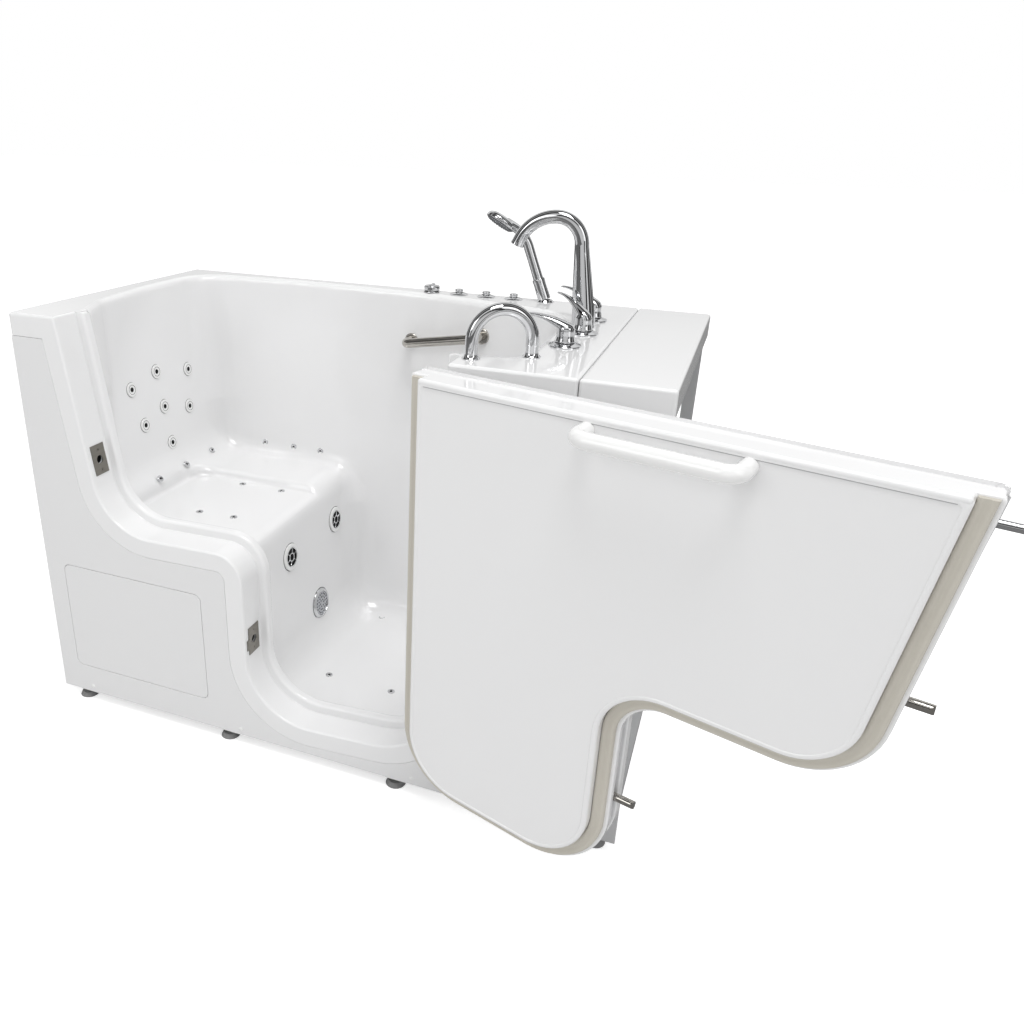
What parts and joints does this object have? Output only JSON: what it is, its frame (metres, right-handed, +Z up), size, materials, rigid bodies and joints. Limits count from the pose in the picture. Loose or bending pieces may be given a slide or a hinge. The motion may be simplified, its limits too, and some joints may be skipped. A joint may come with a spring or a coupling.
{
  "type": "walk-in bathtub with door",
  "caption": "Walk-in bathtub with an outward-swinging L-shaped door, moulded seat, water and air jets, latch bolts, and a deck with spout, levers and hand shower.",
  "frame": {"origin": "on the floor, under the middle of the tub's footprint, at the sole of the centre foot", "axes": "+X along the tub from the seat to the taps, +Y from the door side to the back, +Z up"},
  "size_m": [2.0236, 1.0961, 1.321],
  "materials": {
    "white_acrylic": "moulded gloss acrylic",
    "skirt_acrylic": "gloss acrylic sheet",
    "filler_acrylic": "gloss acrylic sheet, seen in shade",
    "white_fitting": "glossy moulded plastic",
    "stand_steel": "zinc-grey coated square tube",
    "zinc_hardware": "zinc plated",
    "foot_rubber": "light grey rubber-faced pad",
    "stainless": "satin stainless steel",
    "chrome": "polished chrome plate",
    "seal_rubber": "beige silicone seal",
    "pump_plastic": "black moulded pump casing",
    "motor_paint": "dark painted motor casing",
    "pipe_plastic": "white solvent-joined pipe",
    "box_plastic": "light grey moulded casing",
    "brass": "cast brass"
  },
  "bodies": {
    "tub": {"tub_shell": "white_acrylic", "front_panel": "skirt_acrylic", "access_hatch": "skirt_acrylic", "panel_screws": "white_fitting", "extension_deck": "white_acrylic", "extension_front": "filler_acrylic", "frame_long_rails": "stand_steel", "frame_cross_rails": "stand_steel", "frame_uprights": "stand_steel", "levelling_feet": "foot_rubber", "foot_locknuts": "zinc_hardware", "centre_foot": "foot_rubber", "equipment_tray": "zinc_hardware", "water_pump": "pump_plastic", "pump_motor": "motor_paint", "air_blower": "pump_plastic", "inline_heater": "stainless", "control_box": "box_plastic", "water_manifold": "pipe_plastic", "air_manifold": "pipe_plastic", "valve_bodies": "brass", "button_bodies": "pump_plastic", "floor_drain": "chrome", "waste_pipe": "pipe_plastic", "overflow_plate": "chrome", "back_jets": "white_fitting", "riser_jets": "white_fitting", "suction_cover": "chrome", "seat_air_jets": "chrome", "floor_air_jets": "chrome", "strike_plate_upper": "stainless", "strike_plate_lower": "stainless", "strike_screws": "stainless", "wall_grab_bar": "stainless", "deck_grab_bar": "chrome", "spout": "chrome", "tap_escutcheons": "chrome", "hand_shower_holder": "chrome", "drain_knob_ring": "chrome", "button_rings": "chrome", "hinge_brackets": "stainless", "hinge_pins": "stainless"},
    "door": {"door_hinge_leaves": "stainless", "door_outer_shell": "white_acrylic", "door_inner_shell": "white_acrylic", "door_frame": "stand_steel", "door_gasket": "seal_rubber", "door_handle": "white_fitting", "bolt_guides": "stainless"},
    "latch_lever": {"latch_lever": "chrome"},
    "latch_linkage": {"latch_linkage": "stainless"},
    "handle_hot": {"handle_hot": "chrome"},
    "handle_diverter": {"handle_diverter": "chrome"},
    "handle_cold": {"handle_cold": "chrome"},
    "hand_shower": {"hand_shower": "chrome", "shower_face": "box_plastic"},
    "drain_knob": {"drain_knob": "chrome"},
    "button_left": {"button_left": "chrome"},
    "button_middle": {"button_middle": "chrome"},
    "button_right": {"button_right": "chrome"}
  },
  "joints": [
    {"name": "door_swing", "type": "hinge", "parent": "tub", "child": "door", "pos_m": [0.314, -0.389, 0], "axis": [0, 0, 1], "range_deg": [-165.3, 9.7]},
    {"name": "latch_turn", "type": "hinge", "parent": "door", "child": "latch_lever", "pos_m": [1.10706, -0.60533, 0.99], "axis": [-0.2538, -0.9673, 0], "range_deg": [0, 90]},
    {"name": "bolt_slide", "type": "slide", "parent": "door", "child": "latch_linkage", "axis": [-0.9673, 0.2538, 0], "range_m": [0, 0.04]},
    {"name": "hot_turn", "type": "hinge", "parent": "tub", "child": "handle_hot", "pos_m": [0.503, -0.131, 1.067], "axis": [0, 0, 1], "range_deg": [0, 90]},
    {"name": "diverter_turn", "type": "hinge", "parent": "tub", "child": "handle_diverter", "pos_m": [0.513, 0.005, 1.067], "axis": [0, 0, 1], "range_deg": [0, 90]},
    {"name": "cold_turn", "type": "hinge", "parent": "tub", "child": "handle_cold", "pos_m": [0.505, 0.164, 1.067], "axis": [0, 0, 1], "range_deg": [-90, 0]},
    {"name": "shower_lift", "type": "slide", "parent": "tub", "child": "hand_shower", "axis": [-0.3681, 0, 0.9298], "range_m": [0, 0.075]},
    {"name": "drain_turn", "type": "hinge", "parent": "tub", "child": "drain_knob", "pos_m": [0.029, 0.343, 1.067], "axis": [0, 0, 1], "range_deg": [0, 120]},
    {"name": "press_left", "type": "slide", "parent": "tub", "child": "button_left", "axis": [0, 0, -1], "range_m": [0, 0.004], "stiffness_N_per_m": 600, "springref_m": -0.002},
    {"name": "press_middle", "type": "slide", "parent": "tub", "child": "button_middle", "axis": [0, 0, -1], "range_m": [0, 0.004], "stiffness_N_per_m": 600, "springref_m": -0.002},
    {"name": "press_right", "type": "slide", "parent": "tub", "child": "button_right", "axis": [0, 0, -1], "range_m": [0, 0.004], "stiffness_N_per_m": 600, "springref_m": -0.002}
  ],
  "couplings": [
    {"joint": "bolt_slide", "follows": "latch_turn", "m_per_rad": 0.025464}
  ]
}
